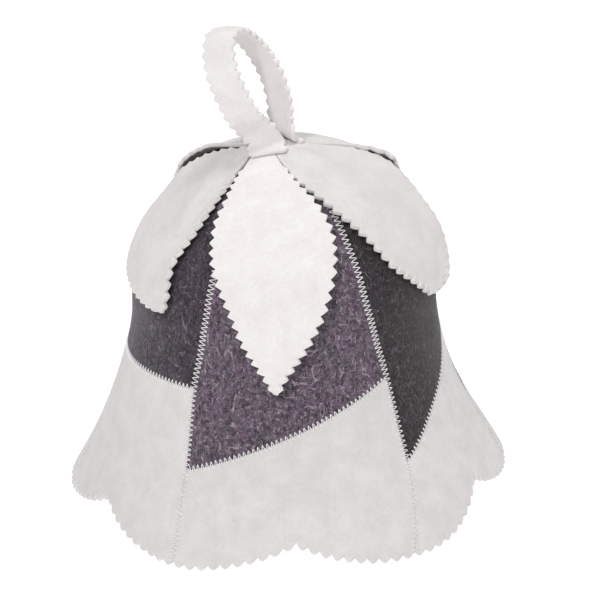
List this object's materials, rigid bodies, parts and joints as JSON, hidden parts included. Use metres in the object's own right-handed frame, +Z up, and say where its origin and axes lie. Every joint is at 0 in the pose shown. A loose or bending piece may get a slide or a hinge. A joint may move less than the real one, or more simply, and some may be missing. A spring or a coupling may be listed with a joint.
{
  "type": "sauna hat",
  "caption": "Bell-shaped felt sauna hat with a scalloped pinked hem, dark crown panels under white leaf petals, and a felt hanging loop on top.",
  "frame": {"origin": "on the surface that the hem rests on, under the middle of the hem", "axes": "+Z up through the hat, -Y is the side with the long front petal, +X is the right side seen from there"},
  "size_m": [0.295, 0.2791, 0.31],
  "materials": {
    "white_felt": "matt pressed wool felt, off-white",
    "dark_heather_felt": "matt pressed wool felt, dark grey violet heather with pale fibres"
  },
  "bodies": {
    "root": {"crown_gore_front": "dark_heather_felt", "crown_gore_right": "dark_heather_felt", "crown_gore_back_right": "dark_heather_felt", "crown_gore_back": "dark_heather_felt", "crown_gore_back_left": "dark_heather_felt", "crown_gore_left": "dark_heather_felt", "skirt_gore_front": "white_felt", "skirt_gore_right": "white_felt", "skirt_gore_back_right": "white_felt", "skirt_gore_back": "white_felt", "skirt_gore_back_left": "white_felt", "skirt_gore_left": "white_felt", "petal_front": "white_felt", "petal_right": "white_felt", "petal_back_right": "white_felt", "petal_back": "white_felt", "petal_back_left": "white_felt", "petal_left": "white_felt", "hanging_loop": "white_felt"}
  },
  "joints": []
}
